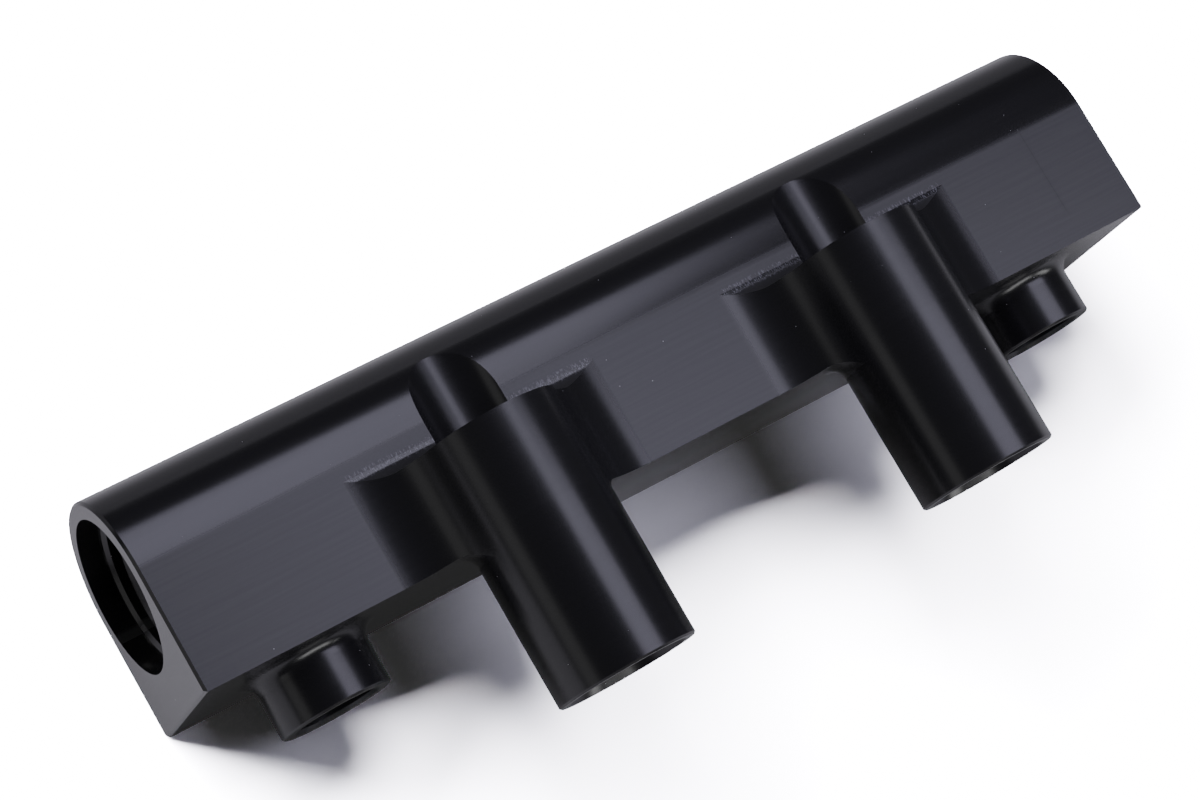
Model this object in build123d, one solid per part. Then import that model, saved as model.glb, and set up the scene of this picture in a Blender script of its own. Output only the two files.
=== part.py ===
from build123d import *

import os
from math import atan2, degrees, radians, sqrt, tan

# One-piece fuel rail, machined from a single bar. X runs along the rail from its inlet face,
# the fuel bore lies on y = 0, z = 0, the injector cups point to -Y and +Z is square to the
# front flat. The back flat is the face that the rail lies on. All sizes are in millimetres.

# Fuel bore, with an O-ring port in each end.
RAIL_LENGTH = 147.4
PORT_MOUTH_DIAMETER = 20.9
PORT_WALL = 2.25  # port mouth to the flats of the bar
SEAT_DEPTH = 3.1
THREAD_DIAMETER = 19.05  # outside of the port's thread, which the bore here leaves room for
THREAD_DEPTH = 19.0
THREAD_LEAD = 0.5  # chamfer at the thread's start
FUEL_BORE_DIAMETER = 14.2
DRILL_ANGLE = 59.0  # degrees, each side of a drill's point

# Bar, a round back and crown with a flat underside.
UNDERSIDE_DROP = 16.7  # bore axis to underside
END_CHAMFER = 0.36
BACK_CORNER_RADIUS = 0.8
EDGE_BREAK = 0.25
OVERCUT = 1.0  # how far a cutter runs past the surface that it opens

# Injector cups, their webs and the ledge they start from.
CUP_COUNT = 2
CUP_FIRST = 46.3  # inlet face to the first cup
CUP_SPACING = 57.0
CUP_PROUD = 3.5  # cup axis in front of the front flat
CUP_LENGTH = 34.8
CUP_MOUTH_DIAMETER = 16.3
CUP_WALL = 1.375  # at the mouth
LEDGE_DROP = 3.75  # bore axis to the top face of the cups
LEDGE_COVE = 2.1
WEB_RADIUS = 10.2
ROOT_FILLET = 2.2
INJECTOR_BORE_DIAMETER = 14.0
INJECTOR_LEAD_ANGLE = 30.0  # degrees, each side
INJECTOR_BORE_DEPTH = 17.0
PASSAGE_DIAMETER = 5.0
PASSAGE_OFFSET = 4.2  # cup axis to passage axis, at the bottom of the cup's bore
POCKET_RIM = 2.95  # cup side to the wall of the pocket above it

# Mounting bosses.
BOSS_END_DISTANCE = 17.0  # end face to boss axis
BOSS_HEIGHT = 8.0
BOSS_BORE_DIAMETER = 11.0
BOSS_BORE_DEPTH = 9.5
BOSS_BORE_CHAMFER = 0.45
BOSS_WALL = 1.65  # at the mouth

# Shallow relief along the crown.
RELIEF_LENGTH = 47.8
RELIEF_OFFSET = 0.4  # first cup to the start of the full depth
RELIEF_DEPTH = 0.3
RELIEF_RUNOUT = 4.9

half_bar = PORT_MOUTH_DIAMETER / 2 + PORT_WALL
cup_radius = CUP_MOUTH_DIAMETER / 2 + CUP_WALL
cup_height = half_bar + CUP_PROUD
cup_mouth_drop = LEDGE_DROP + CUP_LENGTH
cove_top_drop = LEDGE_DROP - LEDGE_COVE
pocket_radius = cup_radius - POCKET_RIM
boss_radius = BOSS_BORE_DIAMETER / 2 + BOSS_BORE_CHAMFER + BOSS_WALL
boss_mouth_drop = UNDERSIDE_DROP + BOSS_HEIGHT
cup_places = [CUP_FIRST + CUP_SPACING * index for index in range(CUP_COUNT)]
boss_places = [BOSS_END_DISTANCE, RAIL_LENGTH - BOSS_END_DISTANCE]

# Each web's arc leaves the front flat and meets the cup, tangent to both.
web_rise = half_bar + WEB_RADIUS - cup_height
web_reach = sqrt((WEB_RADIUS + cup_radius) ** 2 - web_rise**2)
web_sweep = degrees(atan2(web_reach, web_rise))


def downwards(x, drop, z=0.0):
    """Plane facing -Y at a drop below the bore axis, with X across it and Z up it."""
    return Plane(origin=(x, -drop, z), x_dir=(1, 0, 0), z_dir=(0, -1, 0))


def turned(points, place):
    """Solid turned from (depth, radius) points about the normal of its place."""
    outline = Polyline(*[(radius, 0, depth) for depth, radius in points], close=True)
    return place * revolve(make_face(outline), Axis.Z)


def bar():
    """Plain bar with its end faces chamfered."""
    with BuildSketch(Plane.YZ) as section:
        with BuildLine():
            Polyline(
                (0, half_bar),
                (-UNDERSIDE_DROP, half_bar),
                (-UNDERSIDE_DROP, -half_bar),
                (0, -half_bar),
            )
            ThreePointArc((0, -half_bar), (half_bar, 0), (0, half_bar))
        make_face()
        back_corner = section.vertices().sort_by(Axis.Y)[:2].sort_by(Axis.X)[0]
        fillet(back_corner, BACK_CORNER_RADIUS)
    solid = extrude(section.sketch, RAIL_LENGTH)
    return chamfer(solid.faces().filter_by(Axis.X).edges(), END_CHAMFER)


def web_section():
    """Section of a cup's two webs, with Z as its second axis."""
    with BuildSketch() as section:
        with BuildLine():
            arc = CenterArc((-web_reach, half_bar + WEB_RADIUS), WEB_RADIUS, -90, web_sweep)
            Polyline(arc @ 1, (0, cup_height))
            Polyline(arc @ 0, (-web_reach, 0), (0, 0))
            mirror(about=Plane.YZ)
        make_face()
    return section.sketch


def ledge_limit():
    """Everything below the ledge and the cove that joins it to the front flat."""
    top = cup_height + cup_radius + OVERCUT
    foot = cup_mouth_drop + OVERCUT
    with BuildSketch(Plane.YZ) as section:
        with BuildLine():
            cove = CenterArc((-cove_top_drop, half_bar + LEDGE_COVE), LEDGE_COVE, -90, -90)
            Polyline(cove @ 1, (-LEDGE_DROP, top), (-foot, top), (-foot, 0), (-cove_top_drop, 0), cove @ 0)
        make_face()
    return extrude(section.sketch, RAIL_LENGTH)


def root_ring(radius, place):
    """Disc with a concave edge, the fillet at the foot of a round post."""
    disc = Cylinder(radius + ROOT_FILLET, ROOT_FILLET, align=(Align.CENTER, Align.CENTER, Align.MIN))
    return place * (disc - Pos(0, 0, ROOT_FILLET) * Torus(radius + ROOT_FILLET, ROOT_FILLET))


def post(radius, length, place):
    """Round post with a small chamfer on its free end."""
    column = Cylinder(radius, length, align=(Align.CENTER, Align.CENTER, Align.MIN))
    return place * chamfer(column.faces().sort_by(Axis.Z)[-1].edges(), EDGE_BREAK)


def cup(x):
    """Injector cup and its webs, solid, from the ledge to the mouth."""
    column = post(cup_radius, cup_mouth_drop - cove_top_drop, downwards(x, cove_top_drop, cup_height))
    web = extrude(downwards(x, cove_top_drop) * web_section(), UNDERSIDE_DROP - cove_top_drop)
    footprint = web_section() + Rectangle(2 * web_reach, 2 * half_bar)
    ring = root_ring(cup_radius, downwards(x, UNDERSIDE_DROP, cup_height))
    root = ring & extrude(downwards(x, UNDERSIDE_DROP) * footprint, ROOT_FILLET)
    return ((column + web) & ledge_limit()) + root


def boss(x):
    """Mounting boss under one end of the bar, solid."""
    place = downwards(x, UNDERSIDE_DROP)
    return post(boss_radius, BOSS_HEIGHT, place) + root_ring(boss_radius, place)


def fuel_bore():
    """The bore from end to end, with a seat and a thread bore at each port."""
    mouth = PORT_MOUTH_DIAMETER / 2
    thread = THREAD_DIAMETER / 2
    bore = FUEL_BORE_DIAMETER / 2
    point = THREAD_DEPTH + (thread - bore) / tan(radians(DRILL_ANGLE))
    port = [
        (0, mouth),
        (SEAT_DEPTH, mouth),
        (SEAT_DEPTH, thread + THREAD_LEAD),
        (SEAT_DEPTH + THREAD_LEAD, thread),
        (THREAD_DEPTH, thread),
        (point, bore),
    ]
    far_port = [(RAIL_LENGTH - depth, radius) for depth, radius in reversed(port)]
    return turned([(0, 0), *port, *far_port, (RAIL_LENGTH, 0)], Plane.YZ)


def upwards(x, drop, z=0.0):
    """Plane facing +Y at a drop below the bore axis, for what is bored from a mouth."""
    return Plane(origin=(x, -drop, z), x_dir=(1, 0, 0), z_dir=(0, 1, 0))


def injector_bore(x):
    """Bore of a cup, with the lead-in for the injector's O-ring and a drilled bottom."""
    mouth = CUP_MOUTH_DIAMETER / 2
    bore = INJECTOR_BORE_DIAMETER / 2
    lead = (mouth - bore) / tan(radians(INJECTOR_LEAD_ANGLE))
    point = INJECTOR_BORE_DEPTH + bore / tan(radians(DRILL_ANGLE))
    outline = [(0, 0), (0, mouth), (lead, bore), (INJECTOR_BORE_DEPTH, bore), (point, 0)]
    return turned(outline, upwards(x, cup_mouth_drop, cup_height))


def passage(x):
    """Drilled way from the fuel bore's axis to the bottom of a cup's bore."""
    drop = cup_mouth_drop - INJECTOR_BORE_DEPTH
    height = cup_height - PASSAGE_OFFSET
    place = Plane(origin=(x, 0, 0), x_dir=(1, 0, 0), z_dir=(0, -drop, height))
    length = sqrt(drop**2 + height**2)
    return place * Cylinder(
        PASSAGE_DIAMETER / 2, length, align=(Align.CENTER, Align.CENTER, Align.MIN)
    )


def pocket(x):
    """Round pocket over a cup, which opens the front of the crown down to the ledge."""
    depth = LEDGE_DROP + half_bar + OVERCUT
    return upwards(x, LEDGE_DROP, cup_height) * Cylinder(
        pocket_radius, depth, align=(Align.CENTER, Align.CENTER, Align.MIN)
    )


def boss_bore(x):
    """Blind bore of a mounting boss, chamfered at its mouth, with a drilled bottom."""
    bore = BOSS_BORE_DIAMETER / 2
    mouth = bore + BOSS_BORE_CHAMFER
    point = BOSS_BORE_DEPTH + bore / tan(radians(DRILL_ANGLE))
    outline = [(0, 0), (0, mouth), (BOSS_BORE_CHAMFER, bore), (BOSS_BORE_DEPTH, bore), (point, 0)]
    return turned(outline, upwards(x, boss_mouth_drop))


def crown_relief():
    """Shallow flat on the crown, which runs out at both ends."""
    start = CUP_FIRST + RELIEF_OFFSET
    end = start + RELIEF_LENGTH
    floor = half_bar - RELIEF_DEPTH
    with BuildSketch(Plane.XY) as section:
        with BuildLine():
            Polyline(
                (start - RELIEF_RUNOUT, half_bar),
                (start, floor),
                (end, floor),
                (end + RELIEF_RUNOUT, half_bar),
                close=True,
            )
        make_face()
    return extrude(section.sketch, half_bar, both=True)


def rail():
    """The whole rail: everything solid first, then every bore and cut."""
    solid = bar()
    for x in cup_places:
        solid += cup(x)
    for x in boss_places:
        solid += boss(x)
        solid -= boss_bore(x)
    solid -= fuel_bore()
    solid -= crown_relief()
    for x in cup_places:
        solid -= injector_bore(x)
        solid -= passage(x)
        solid -= pocket(x)
    return solid


os.makedirs("parts", exist_ok=True)
export_step(rail(), "parts/rail_body.step")
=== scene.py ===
import logging
import math
from dataclasses import dataclass
from enum import Enum
from functools import reduce

import bmesh
import bpy
from mathutils import Matrix, Quaternion, Vector


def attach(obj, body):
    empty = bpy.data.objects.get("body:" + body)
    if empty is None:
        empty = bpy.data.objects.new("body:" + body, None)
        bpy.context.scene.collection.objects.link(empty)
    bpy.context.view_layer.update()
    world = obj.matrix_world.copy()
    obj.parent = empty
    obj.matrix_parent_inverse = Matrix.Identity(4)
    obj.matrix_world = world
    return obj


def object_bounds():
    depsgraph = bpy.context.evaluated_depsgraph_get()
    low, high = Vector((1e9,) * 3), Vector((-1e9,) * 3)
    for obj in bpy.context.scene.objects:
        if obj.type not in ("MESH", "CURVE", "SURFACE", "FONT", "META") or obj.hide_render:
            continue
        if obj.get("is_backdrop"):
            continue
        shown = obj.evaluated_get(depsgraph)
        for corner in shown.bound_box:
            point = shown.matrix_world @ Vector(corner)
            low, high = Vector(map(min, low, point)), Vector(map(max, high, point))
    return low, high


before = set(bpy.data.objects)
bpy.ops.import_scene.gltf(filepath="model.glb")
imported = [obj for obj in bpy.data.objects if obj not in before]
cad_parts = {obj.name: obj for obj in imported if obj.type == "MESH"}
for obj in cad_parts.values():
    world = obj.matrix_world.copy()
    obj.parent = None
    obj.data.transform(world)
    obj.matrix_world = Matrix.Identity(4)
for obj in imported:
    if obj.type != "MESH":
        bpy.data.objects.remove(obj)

log = logging.getLogger("fuel_rail")

Tree = bpy.types.NodeTree
Socket = bpy.types.NodeSocket
Outputs = bpy.types.NodeOutputs

MM = 0.001
RAIL_LENGTH_MM = 147.4
WHITE = "#ffffff"
# Cool studio lamps are slightly violet beside daylight, the large washes less so.
SOFTBOX_TINT = "#e9e6ff"
WASH_TINT = "#f5f2ff"


# ---------------------------------------------------------------- helpers


def linear(hex_colour: str) -> tuple[float, float, float, float]:
    """Turn an sRGB hex colour into a linear one.

    Args:
        hex_colour: six hex digits with a leading #.

    Returns:
        Red, green and blue, linear, and an alpha of 1.
    """
    channels = [int(hex_colour[place : place + 2], 16) / 255 for place in (1, 3, 5)]
    red, green, blue = (
        c / 12.92 if c <= 0.04045 else ((c + 0.055) / 1.055) ** 2.4 for c in channels
    )
    return (red, green, blue, 1.0)


def add_node(tree: Tree, kind: str, links: dict[str | int, object] | None = None,
             **settings: object) -> bpy.types.Node:
    """Add one shader node with its settings and links.

    Args:
        tree: node tree that the node goes into.
        kind: Blender's name for the node's class.
        links: input name or number to the output socket or the constant that feeds it.
        settings: the node's own properties.

    Returns:
        The new node.
    """
    node = tree.nodes.new(kind)
    for name, value in settings.items():
        setattr(node, name, value)
    for name, source in (links or {}).items():
        if isinstance(source, Socket):
            tree.links.new(source, node.inputs[name])
        else:
            node.inputs[name].default_value = source
    return node


def new_material(name: str) -> tuple[bpy.types.Material, Tree]:
    """Make an empty node material.

    Args:
        name: the material's name.

    Returns:
        The material and its cleared node tree.
    """
    material = bpy.data.materials.new(name)
    material.use_nodes = True
    material.node_tree.nodes.clear()
    return material, material.node_tree


def overlap(tree: Tree, *masks: Socket) -> Socket:
    """Mask of where several masks overlap.

    Args:
        tree: the material's node tree.
        masks: one or more masks.

    Returns:
        The mask's output socket.
    """
    return reduce(
        lambda first, second: add_node(
            tree, "ShaderNodeMath", {0: first, 1: second}, operation="MULTIPLY"
        ).outputs[0],
        masks,
    )


def band(tree: Tree, value: Socket, low: float, high: float | None, soft: float) -> Socket:
    """Mask that is 1 between two values and 0 outside them.

    Args:
        tree: the material's node tree.
        value: what is tested.
        low: lower end of the band.
        high: upper end of the band, or None where it has none.
        soft: how far the mask takes to rise at each end.

    Returns:
        The mask's output socket.
    """
    ends = [(low - soft, low)]
    if high is not None:
        ends.append((high + soft, high))
    return overlap(
        tree,
        *(
            add_node(
                tree,
                "ShaderNodeMapRange",
                {"Value": value, "From Min": outside, "From Max": inside},
            ).outputs["Result"]
            for outside, inside in ends
        ),
    )


@dataclass(frozen=True)
class Surface:
    """What a finish reads at each point: where the point is, and which way it faces."""

    tree: Tree
    place: Socket
    at: Outputs
    turn: Outputs

    @classmethod
    def read(cls, tree: Tree) -> "Surface":
        """Add the nodes that read the surface.

        Args:
            tree: the material's node tree.

        Returns:
            The surface's readings.
        """
        place = add_node(tree, "ShaderNodeTexCoord").outputs["Object"]
        facing = add_node(tree, "ShaderNodeNewGeometry").outputs["Normal"]
        at = add_node(tree, "ShaderNodeSeparateXYZ", {"Vector": place}).outputs
        turn = add_node(tree, "ShaderNodeSeparateXYZ", {"Vector": facing}).outputs
        return cls(tree, place, at, turn)


# ---------------------------------------------------------------- sizes


@dataclass(frozen=True)
class RailPlan:
    """Sizes of the rail that its finish is set out from."""

    half_bar_mm: float = 12.7
    cup_places_mm: tuple[float, ...] = (46.3, 103.3)
    cup_radius_mm: float = 9.525
    cup_height_mm: float = 16.2
    web_radius_mm: float = 10.2
    chatter_top_mm: float = 1.3
    chatter_foot_mm: float = 2.3
    ledge_mm: float = 3.75
    underside_mm: float = 16.7
    tool_stop_mm: float = 136.5
    tool_stop_drop_mm: float = 12.0

    @property
    def web_reach_mm(self) -> float:
        """Distance from a cup's axis to where its web leaves the front flat."""
        rise = self.half_bar_mm + self.web_radius_mm - self.cup_height_mm
        return math.sqrt((self.web_radius_mm + self.cup_radius_mm) ** 2 - rise**2)


# ---------------------------------------------------------------- finishes


@dataclass(frozen=True)
class BlackAnodised:
    """Black anodised aluminium, milled and left as cut.

    What the eye gets is the dyed oxide skin, which is clear and hard and shines like dark
    glass. The fine tool marks under it soften and stretch its reflections.
    """

    plan: RailPlan = RailPlan()

    # The dye is a shade paler on the ridges of the tool marks. Where the cutter chattered, the
    # nicks get a painted highlight, a pale grey that stands for the light they catch.
    colour: str = "#18181a"
    pale_colour: str = "#202022"
    chatter_glint_colour: str = "#5c5c63"
    dust_colour: str = "#8a8a8e"

    # What reflects is the oxide skin and not the metal below it, so it is not metallic.
    ior: float = 1.48

    # Turned and bored faces are finer than the long pass of the face mill on the flat, and
    # the webs and cup tops, which a small cutter followed round, lie between the two. The
    # crown is the finest, and the coved ledge, where the cutter dwelt, the roughest.
    cut_roughness: float = 0.24
    crown_roughness: float = 0.2
    blended_roughness: float = 0.262
    flat_roughness: float = 0.32
    ledge_roughness: float = 0.8
    line_roughness: float = 0.6

    # Tool marks are 0.1 to 0.2 mm apart on such a part, which is too fine to show, so they
    # are drawn 0.55 mm apart. They run for a cutter's width or so before they change.
    lay_pitch_mm: float = 0.55
    lay_length_mm: float = 14.0
    ridge_from: float = 0.3
    ridge_to: float = 0.7
    streak: float = 0.01

    # Chatter follows the cutter's teeth, under 0.1 mm apart. That is too fine to show, so
    # the nicks are drawn 0.18 mm wide.
    chatter_pitch_mm: float = 0.18
    chatter_length_mm: float = 0.45
    nick_from: float = 0.5
    nick_to: float = 0.7

    noise_detail: float = 2.0
    noise_roughness: float = 0.5

    # Dust is under 0.1 mm across and too fine to show, so each speck is drawn 0.16 mm across.
    dust_spacing_mm: float = 3.0
    dust_radius_mm: float = 0.08
    dust_core: float = 0.6

    # How far each area of the finish goes and how softly it ends: in millimetres, or for a
    # name with turn, as a share of the surface normal.
    flat_turn: float = 0.999
    flat_turn_soft: float = 0.002
    flat_depth_mm: float = 0.02
    flat_soft_mm: float = 0.01
    crown_turn: float = 0.03
    crown_turn_soft: float = 0.02
    blend_rise_mm: float = 0.5
    blend_rise_soft_mm: float = 0.5
    blend_side_soft_mm: float = 0.05
    cove_turn: float = 0.3
    cove_turn_soft: float = 0.1
    cove_soft_mm: float = 0.1
    line_half_mm: float = 0.04
    line_soft_mm: float = 0.05
    line_fade_mm: float = 1.5
    chatter_soft_mm: float = 0.3
    chatter_depth_mm: float = 1.5
    chatter_rise_mm: float = 0.35
    chatter_rise_soft_mm: float = 0.02
    chatter_turn: float = 0.05
    chatter_turn_soft: float = 0.02
    chatter_inset_mm: float = 0.8
    chatter_end_soft_mm: float = 0.4

    def build(self) -> bpy.types.Material:
        """Make the material.

        Returns:
            The finished material.
        """
        material, tree = new_material("black_anodised_aluminium_milled")
        surface = Surface.read(tree)
        flat = self.flat(surface)
        lay = self.stretched_noise(surface, self.lay_length_mm, self.lay_pitch_mm)
        shader = add_node(
            tree,
            "ShaderNodeBsdfPrincipled",
            {
                "Base Color": self.dye(surface, overlap(tree, lay, flat)),
                "Roughness": self.roughness(surface, flat, lay),
                "IOR": self.ior,
            },
        )
        add_node(tree, "ShaderNodeOutputMaterial", {"Surface": shader.outputs["BSDF"]})
        return material

    def flat(self, surface: Surface) -> Socket:
        """Mask of the milled front flat.

        Args:
            surface: the surface's readings.

        Returns:
            The mask's output socket.
        """
        tree, height = surface.tree, self.plan.half_bar_mm
        level = band(tree, surface.turn["Z"], self.flat_turn, None, self.flat_turn_soft)
        front = band(
            tree,
            surface.at["Z"],
            (height - self.flat_depth_mm) * MM,
            (height + self.flat_depth_mm) * MM,
            self.flat_soft_mm * MM,
        )
        return overlap(tree, level, front)

    def stretched_noise(self, surface: Surface, along_mm: float, across_mm: float) -> Socket:
        """Uneven marks of one length along the rail and another across it.

        Args:
            surface: the surface's readings.
            along_mm: size of a mark along X and Z.
            across_mm: size of a mark along Y.

        Returns:
            The output socket of the marks' height, from 0 to 1.
        """
        along, across = 1 / (along_mm * MM), 1 / (across_mm * MM)
        stretched = add_node(
            surface.tree,
            "ShaderNodeMapping",
            {"Vector": surface.place, "Scale": (along, across, along)},
        ).outputs["Vector"]
        return add_node(
            surface.tree,
            "ShaderNodeTexNoise",
            {
                "Vector": stretched,
                "Scale": 1.0,
                "Detail": self.noise_detail,
                "Roughness": self.noise_roughness,
            },
        ).outputs["Fac"]

    def roughness(self, surface: Surface, flat: Socket, lay: Socket) -> Socket:
        """Roughness of each milled face, with a thin dull line where the cutter was lifted.

        Args:
            surface: the surface's readings.
            flat: mask of the front flat.
            lay: height of the tool marks.

        Returns:
            The roughness's output socket.
        """
        tree, at, turn, plan = surface.tree, surface.at, surface.turn, self.plan
        crown = band(tree, turn["Y"], self.crown_turn, None, self.crown_turn_soft)
        blended = overlap(
            tree,
            band(tree, at["Y"], -plan.underside_mm * MM, 0.0, self.blend_side_soft_mm * MM),
            band(
                tree,
                at["Z"],
                (plan.half_bar_mm + self.blend_rise_mm) * MM,
                None,
                self.blend_rise_soft_mm * MM,
            ),
        )
        coved = overlap(
            tree,
            band(
                tree,
                at["Y"],
                -plan.ledge_mm * MM,
                -plan.chatter_foot_mm * MM,
                self.cove_soft_mm * MM,
            ),
            band(tree, turn["Y"], self.cove_turn, None, self.cove_turn_soft),
        )
        value = self.cut_roughness
        for mask, dullness in (
            (crown, self.crown_roughness),
            (blended, self.blended_roughness),
            (flat, self.flat_roughness),
            (coved, self.ledge_roughness),
        ):
            value = add_node(
                tree, "ShaderNodeMix", {"Factor": mask, 2: value, 3: dullness}
            ).outputs[0]
        streaks = add_node(
            tree,
            "ShaderNodeMapRange",
            {
                "Value": lay,
                "From Min": self.ridge_from,
                "From Max": self.ridge_to,
                "To Min": -self.streak,
                "To Max": self.streak,
            },
        ).outputs["Result"]
        value = add_node(tree, "ShaderNodeMath", {0: value, 1: streaks}, operation="ADD").outputs[0]
        lifted = overlap(
            tree,
            band(
                tree,
                at["X"],
                (plan.tool_stop_mm - self.line_half_mm) * MM,
                (plan.tool_stop_mm + self.line_half_mm) * MM,
                self.line_soft_mm * MM,
            ),
            band(tree, at["Y"], -plan.tool_stop_drop_mm * MM, 0.0, self.line_fade_mm * MM),
            flat,
        )
        return add_node(
            tree, "ShaderNodeMix", {"Factor": lifted, 2: value, 3: self.line_roughness}
        ).outputs[0]

    def dye(self, surface: Surface, lay: Socket) -> Socket:
        """Black of the dyed skin: paler along the tool marks, with a painted highlight on the
        chatter nicks above each ledge, and with a few specks of dust on it.

        Args:
            surface: the surface's readings.
            lay: height of the tool marks on the front flat, and 0 elsewhere.

        Returns:
            The colour's output socket.
        """
        tree = surface.tree
        ridges = add_node(
            tree,
            "ShaderNodeMapRange",
            {"Value": lay, "From Min": self.ridge_from, "From Max": self.ridge_to},
        ).outputs["Result"]
        colour = linear(self.colour)
        for share, paint in (
            (ridges, self.pale_colour),
            # Painted highlight: the chatter nicks get a pale grey for the light that they catch.
            (self.chatter(surface), self.chatter_glint_colour),
            (self.dust(surface), self.dust_colour),
        ):
            colour = add_node(
                tree,
                "ShaderNodeMix",
                {"Factor": share, 6: colour, 7: linear(paint)},
                data_type="RGBA",
            ).outputs[2]
        return colour

    def chatter(self, surface: Surface) -> Socket:
        """Mask of the nicks that the cutter left above each ledge, where the painted highlight
        goes.

        Args:
            surface: the surface's readings.

        Returns:
            The mask's output socket.
        """
        tree, at, plan = surface.tree, surface.at, self.plan
        marks = self.stretched_noise(surface, self.chatter_pitch_mm, self.chatter_length_mm)
        nicks = add_node(
            tree,
            "ShaderNodeMapRange",
            {"Value": marks, "From Min": self.nick_from, "From Max": self.nick_to},
        ).outputs["Result"]
        strip = band(
            tree,
            at["Y"],
            -plan.chatter_foot_mm * MM,
            -plan.chatter_top_mm * MM,
            self.chatter_soft_mm * MM,
        )
        skin = band(
            tree,
            at["Z"],
            (plan.half_bar_mm - self.chatter_depth_mm) * MM,
            (plan.half_bar_mm + self.chatter_rise_mm) * MM,
            self.chatter_rise_soft_mm * MM,
        )
        level = band(
            tree,
            surface.turn["X"],
            -self.chatter_turn,
            self.chatter_turn,
            self.chatter_turn_soft,
        )
        reach = plan.web_reach_mm - self.chatter_inset_mm
        first, second = (
            band(
                tree,
                at["X"],
                (cup - reach) * MM,
                (cup + reach) * MM,
                self.chatter_end_soft_mm * MM,
            )
            for cup in plan.cup_places_mm
        )
        ledges = add_node(
            tree, "ShaderNodeMath", {0: first, 1: second}, operation="MAXIMUM"
        ).outputs[0]
        return overlap(tree, strip, ledges, nicks, skin, level)

    def dust(self, surface: Surface) -> Socket:
        """Mask of the few specks of dust.

        Args:
            surface: the surface's readings.

        Returns:
            The mask's output socket.
        """
        nearest = add_node(
            surface.tree,
            "ShaderNodeTexVoronoi",
            {"Vector": surface.place, "Scale": 1 / (self.dust_spacing_mm * MM)},
        ).outputs["Distance"]
        speck = self.dust_radius_mm / self.dust_spacing_mm
        return add_node(
            surface.tree,
            "ShaderNodeMapRange",
            {"Value": nearest, "From Min": speck, "From Max": self.dust_core * speck},
        ).outputs["Result"]


@dataclass(frozen=True)
class WhitePaper:
    """Matt white backdrop paper.

    What the eye gets is plain white, because the lamps burn it out. What the rail mirrors of it is
    painted darker: a grey, with more painted shade far behind the rail, a painted pool of light
    under the gap between the cups, and a faint painted glow.
    """

    seen_colour: str = "#f8f8f8"
    # What the rail mirrors of the paper is painted: a grey near the rail, painted shade far behind
    # it, and a painted pool of light under the gap between the cups.
    near_colour: str = "#2a2a2a"
    far_painted_shade_colour: str = "#161616"
    painted_under_light_colour: str = "#c4c4c4"
    under_light_from_mm: tuple[float, float] = (68.0, -20.0)
    under_light_to_mm: tuple[float, float] = (105.0, -14.0)
    under_light_soft_mm: tuple[float, float] = (8.0, 2.0)
    far_shade_start_mm: float = 12.0
    far_shade_end_mm: float = 50.0
    mirrored_glow: float = 0.05

    def build(self) -> bpy.types.Material:
        """Make the material.

        Returns:
            The finished material.
        """
        material, tree = new_material("white_backdrop_paper")
        direct = add_node(tree, "ShaderNodeLightPath").outputs["Is Camera Ray"]
        seen = add_node(
            tree, "ShaderNodeBsdfDiffuse", {"Color": linear(self.seen_colour)}
        ).outputs["BSDF"]
        grey = add_node(
            tree, "ShaderNodeBsdfDiffuse", {"Color": self.mirrored(tree)}
        ).outputs["BSDF"]
        # Painted glow: the paper faintly glows in what the rail mirrors, though it is no lamp.
        glow = add_node(
            tree, "ShaderNodeEmission", {"Strength": self.mirrored_glow}
        ).outputs["Emission"]
        unseen = add_node(tree, "ShaderNodeAddShader", {0: grey, 1: glow}).outputs["Shader"]
        shader = add_node(tree, "ShaderNodeMixShader", {"Fac": direct, 1: unseen, 2: seen})
        add_node(tree, "ShaderNodeOutputMaterial", {"Surface": shader.outputs["Shader"]})
        return material

    def mirrored(self, tree: Tree) -> Socket:
        """Colour of the paper as the rail mirrors it: a painted grey, darker with painted shade far
        behind the rail and lighter with a painted pool of light under the gap between the cups.

        Args:
            tree: the material's node tree.

        Returns:
            The colour's output socket.
        """
        place = add_node(tree, "ShaderNodeNewGeometry").outputs["Position"]
        at = add_node(tree, "ShaderNodeSeparateXYZ", {"Vector": place}).outputs
        # Painted shade: the mirrored paper turns darker further behind the rail.
        far_shade = add_node(
            tree,
            "ShaderNodeMapRange",
            {
                "Value": at["Y"],
                "From Min": self.far_shade_start_mm * MM,
                "From Max": self.far_shade_end_mm * MM,
            },
        ).outputs["Result"]
        # Painted light: a brighter patch under the gap between the cups, for the rail's underside
        # to mirror.
        under = overlap(
            tree,
            *(
                band(tree, at[axis], low * MM, high * MM, soft * MM)
                for axis, low, high, soft in zip(
                    "XY", self.under_light_from_mm, self.under_light_to_mm, self.under_light_soft_mm
                )
            ),
        )
        colour = linear(self.near_colour)
        for share, paint in ((far_shade, self.far_painted_shade_colour), (under, self.painted_under_light_colour)):
            colour = add_node(
                tree,
                "ShaderNodeMix",
                {"Factor": share, 6: colour, 7: linear(paint)},
                data_type="RGBA",
            ).outputs[2]
        return colour


# ---------------------------------------------------------------- sub-assemblies


@dataclass
class RailBody:
    """The one-piece rail, which comes from the frame and gets its finish here."""

    node: str = "rail_body"
    finish: BlackAnodised = BlackAnodised()

    def dress(self) -> bpy.types.Object:
        """Give the body its material.

        Returns:
            The body's object.
        """
        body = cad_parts[self.node]
        material = self.finish.build()
        for slot in body.material_slots:
            slot.material = material
        log.info("dressed %s: %d faces", self.node, len(body.data.polygons))
        return body


class PortEnd(Enum):
    """End of the rail that a port is in: where its mouth is, and which way is into the rail."""

    INLET = (0.0, 1.0)
    OUTLET = (RAIL_LENGTH_MM, -1.0)


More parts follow.
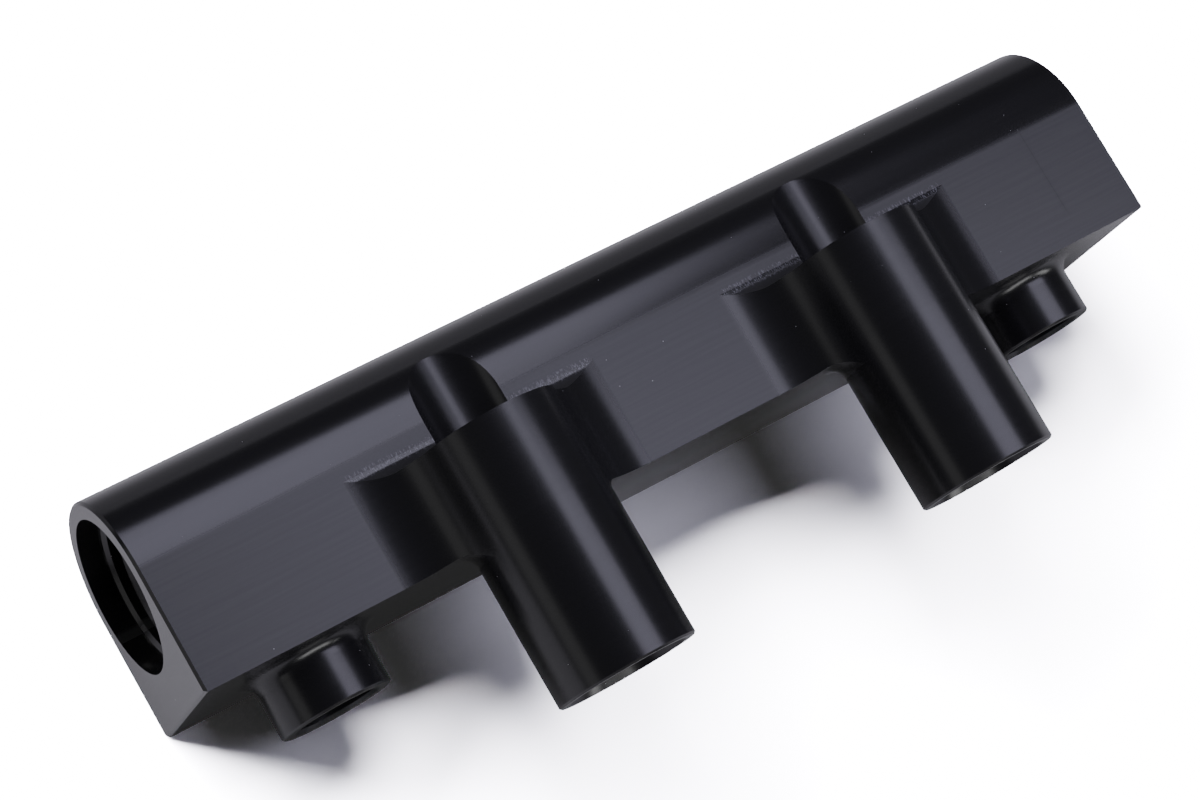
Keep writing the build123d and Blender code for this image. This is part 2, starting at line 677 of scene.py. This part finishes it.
@dataclass
class PortThread:
    """Straight internal thread of one port: one ridge that winds into the rail.

    The ridge's foot lies just inside the bore's wall, so that no gap shows under it.
    """

    end: PortEnd
    finish: BlackAnodised = BlackAnodised()
    wall_radius_mm: float = 9.56
    crest_radius_mm: float = 8.79
    pitch_mm: float = 1.5875
    start_mm: float = 4.2
    stop_mm: float = 18.4
    steps_per_turn: int = 96
    run_in_turns: float = 0.4
    least_rise: float = 0.02
    crest_share: float = 0.14
    root_share: float = 0.88

    @property
    def turns(self) -> float:
        """Number of turns that the ridge makes."""
        return (self.stop_mm - self.start_mm) / self.pitch_mm

    def rise(self, turn: float) -> float:
        """Share of its full height that the ridge has at a place along it."""
        nearest_end = min(turn, self.turns - turn)
        return min(1.0, max(self.least_rise, nearest_end / self.run_in_turns))

    def section(self, turn: float) -> list[Vector]:
        """Corners of the ridge at a place along it.

        Args:
            turn: how many turns the place is from the ridge's start.

        Returns:
            The root and crest corners, in metres.
        """
        mouth, inward = self.end.value
        angle = 2 * math.pi * turn
        depth = self.start_mm + turn * self.pitch_mm
        height = (self.wall_radius_mm - self.crest_radius_mm) * self.rise(turn)
        crest = self.wall_radius_mm - height
        corners = []
        for share, radius in (
            (-self.root_share, self.wall_radius_mm),
            (-self.crest_share, crest),
            (self.crest_share, crest),
            (self.root_share, self.wall_radius_mm),
        ):
            along = mouth + inward * (depth + share * self.pitch_mm / 2)
            across = (radius * math.cos(angle) * inward, radius * math.sin(angle))
            corners.append(Vector((along, *across)) * MM)
        return corners

    def build(self) -> bpy.types.Object:
        """Make the ridge and dress it.

        Returns:
            The thread's object.
        """
        form = bmesh.new()
        rows = [
            [form.verts.new(corner) for corner in self.section(step / self.steps_per_turn)]
            for step in range(int(self.turns * self.steps_per_turn) + 1)
        ]
        for row, after in zip(rows, rows[1:]):
            for place in range(len(row)):
                turned = (place + 1) % len(row)
                form.faces.new((row[place], after[place], after[turned], row[turned]))
        form.faces.new(rows[0])
        form.faces.new(reversed(rows[-1]))
        bmesh.ops.recalc_face_normals(form, faces=form.faces)
        name = f"{self.end.name.lower()}_thread"
        mesh = bpy.data.meshes.new(name)
        form.to_mesh(mesh)
        form.free()
        piece = bpy.data.objects.new(name, mesh)
        bpy.context.scene.collection.objects.link(piece)
        mesh.materials.append(self.finish.build())
        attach(piece, "root")
        log.info("made %s: %.1f turns", name, self.turns)
        return piece


# ---------------------------------------------------------------- studio


class Lights(Enum):
    """What a lamp lights."""

    ALL = "everything"
    RAIL = "the rail only"
    FLOOR = "the floor only"


@dataclass(frozen=True)
class SoftBox:
    """Rectangular soft light, placed by its centre and what it is turned to."""

    name: str
    centre_mm: tuple[float, float, float]
    aim: tuple[float, float, float]
    size_mm: tuple[float, float]
    radiance: float
    turn_deg: float = 0.0
    lights: Lights = Lights.ALL
    colour: str = WHITE

    def build(self, groups: dict[Lights, bpy.types.Collection]) -> bpy.types.Object:
        """Make the light.

        Args:
            groups: the objects that a lamp can be kept to.

        Returns:
            The light's object.
        """
        width, depth = (side * MM for side in self.size_mm)
        data = bpy.data.lights.new(self.name, "AREA")
        data.shape = "RECTANGLE"
        data.size, data.size_y = width, depth
        data.energy = self.radiance * math.pi * width * depth
        data.color = linear(self.colour)[:3]
        light = bpy.data.objects.new(self.name, data)
        bpy.context.scene.collection.objects.link(light)
        light.location = Vector(self.centre_mm) * MM
        light.rotation_mode = "QUATERNION"
        turn = Quaternion((0, 0, 1), math.radians(self.turn_deg))
        light.rotation_quaternion = Vector(self.aim).to_track_quat("-Z", "Y") @ turn
        if self.lights in groups:
            light.light_linking.receiver_collection = groups[self.lights]
        return light


@dataclass(frozen=True)
class Viewpoint:
    """Camera, given by where it is, what it looks at and which way is up in its picture."""

    eye_mm: tuple[float, float, float] = (-103.54, -60.16, 378.77)
    target_mm: tuple[float, float, float] = (68.59, -4.95, 0.0)
    up: tuple[float, float, float] = (0.4111, 0.8566, 0.3117)
    lens_mm: float = 97.02
    sensor_mm: float = 36.0
    nearest_m: float = 0.01
    farthest_m: float = 20.0

    def build(self) -> bpy.types.Object:
        """Make the scene's camera.

        Returns:
            The camera's object.
        """
        data = bpy.data.cameras.new("camera")
        data.lens, data.sensor_width = self.lens_mm, self.sensor_mm
        data.clip_start, data.clip_end = self.nearest_m, self.farthest_m
        camera = bpy.data.objects.new("camera", data)
        bpy.context.scene.collection.objects.link(camera)
        eye = Vector(self.eye_mm) * MM
        back = (eye - Vector(self.target_mm) * MM).normalized()
        right = Vector(self.up).cross(back).normalized()
        true_up = back.cross(right)
        turn = Matrix((right, true_up, back)).transposed()
        camera.matrix_world = Matrix.Translation(eye) @ turn.to_4x4()
        bpy.context.scene.camera = camera
        return camera


@dataclass
class Studio:
    """White floor, soft lights, dim room and camera."""

    floor_mm: float = 6000.0
    room_light: float = 0.05
    paper: WhitePaper = WhitePaper()
    viewpoint: Viewpoint = Viewpoint()
    lamps: tuple[SoftBox, ...] = (
        SoftBox(
            "front_softbox",
            centre_mm=(390.0, -130.0, 600.0),
            aim=(0.0, 0.0, -1.0),
            size_mm=(460.0, 460.0),
            radiance=3.7,
            colour=SOFTBOX_TINT,
        ),
        SoftBox(
            "rear_softbox",
            centre_mm=(290.0, 490.0, 600.0),
            aim=(0.0, 0.0, -1.0),
            size_mm=(330.0, 760.0),
            radiance=3.7,
            turn_deg=-20.0,
            lights=Lights.RAIL,
            colour=SOFTBOX_TINT,
        ),
        SoftBox(
            "front_fill",
            centre_mm=(120.0, -850.0, 360.0),
            aim=(0.0, 0.92, -0.39),
            size_mm=(700.0, 260.0),
            radiance=5.0,
            lights=Lights.RAIL,
        ),
        SoftBox(
            "right_fill",
            centre_mm=(760.0, -620.0, 330.0),
            aim=(-0.72, 0.62, -0.32),
            size_mm=(420.0, 260.0),
            radiance=5.0,
            lights=Lights.RAIL,
        ),
        SoftBox(
            "back_fill",
            centre_mm=(-480.0, 720.0, 330.0),
            aim=(0.6, -0.72, -0.35),
            size_mm=(420.0, 260.0),
            radiance=5.0,
            lights=Lights.RAIL,
        ),
        SoftBox(
            "left_strip",
            centre_mm=(-600.0, 0.0, 190.0),
            aim=(1.0, 0.0, 0.0),
            size_mm=(600.0, 245.0),
            radiance=0.6,
            lights=Lights.RAIL,
        ),
        SoftBox(
            "low_wash",
            centre_mm=(-294.0, 807.0, 625.0),
            aim=(0.335, -0.743, -0.58),
            size_mm=(950.0, 640.0),
            radiance=340.0,
            lights=Lights.FLOOR,
            colour=WASH_TINT,
        ),
        SoftBox(
            "high_wash",
            centre_mm=(136.0, 443.0, 876.0),
            aim=(-0.062, -0.453, -0.889),
            size_mm=(560.0, 360.0),
            radiance=150.0,
            lights=Lights.FLOOR,
            colour=WASH_TINT,
        ),
    )

    def lay_floor(self, height: float) -> bpy.types.Object:
        """Lay the paper that the rail stands on.

        Args:
            height: the floor's Z, in metres.

        Returns:
            The floor's object.
        """
        mesh = bpy.data.meshes.new("floor")
        form = bmesh.new()
        bmesh.ops.create_grid(form, x_segments=1, y_segments=1, size=self.floor_mm * MM / 2)
        form.to_mesh(mesh)
        form.free()
        floor = bpy.data.objects.new("floor", mesh)
        floor.location.z = height
        mesh.materials.append(self.paper.build())
        bpy.context.scene.collection.objects.link(floor)
        floor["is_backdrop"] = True
        return floor

    def dim_room(self) -> None:
        """Give the room the little light that comes from all round."""
        world = bpy.data.worlds.new("room")
        world.use_nodes = True
        background = world.node_tree.nodes["Background"].inputs
        background["Color"].default_value = linear(WHITE)
        background["Strength"].default_value = self.room_light
        bpy.context.scene.world = world

    def build(self, floor_height: float, rail: list[bpy.types.Object]) -> None:
        """Make the floor, the lights, the dim room and the camera.

        Args:
            floor_height: the floor's Z, in metres.
            rail: the rail's pieces.
        """
        floor = self.lay_floor(floor_height)
        groups = {}
        for lights, members in ((Lights.RAIL, rail), (Lights.FLOOR, [floor])):
            groups[lights] = bpy.data.collections.new(lights.name.lower())
            for member in members:
                groups[lights].objects.link(member)
        for lamp in self.lamps:
            lamp.build(groups)
        self.dim_room()
        self.viewpoint.build()
        log.info("set up the studio: %d lamps", len(self.lamps))


def main() -> None:
    """Build the scene: the rail's looks first, then the studio."""
    logging.basicConfig(level=logging.INFO, format="%(message)s")
    cad_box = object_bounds()
    rail = [RailBody().dress()] + [PortThread(end).build() for end in PortEnd]
    Studio().build(cad_box[0].z, rail)


if __name__ == "__main__":
    main()
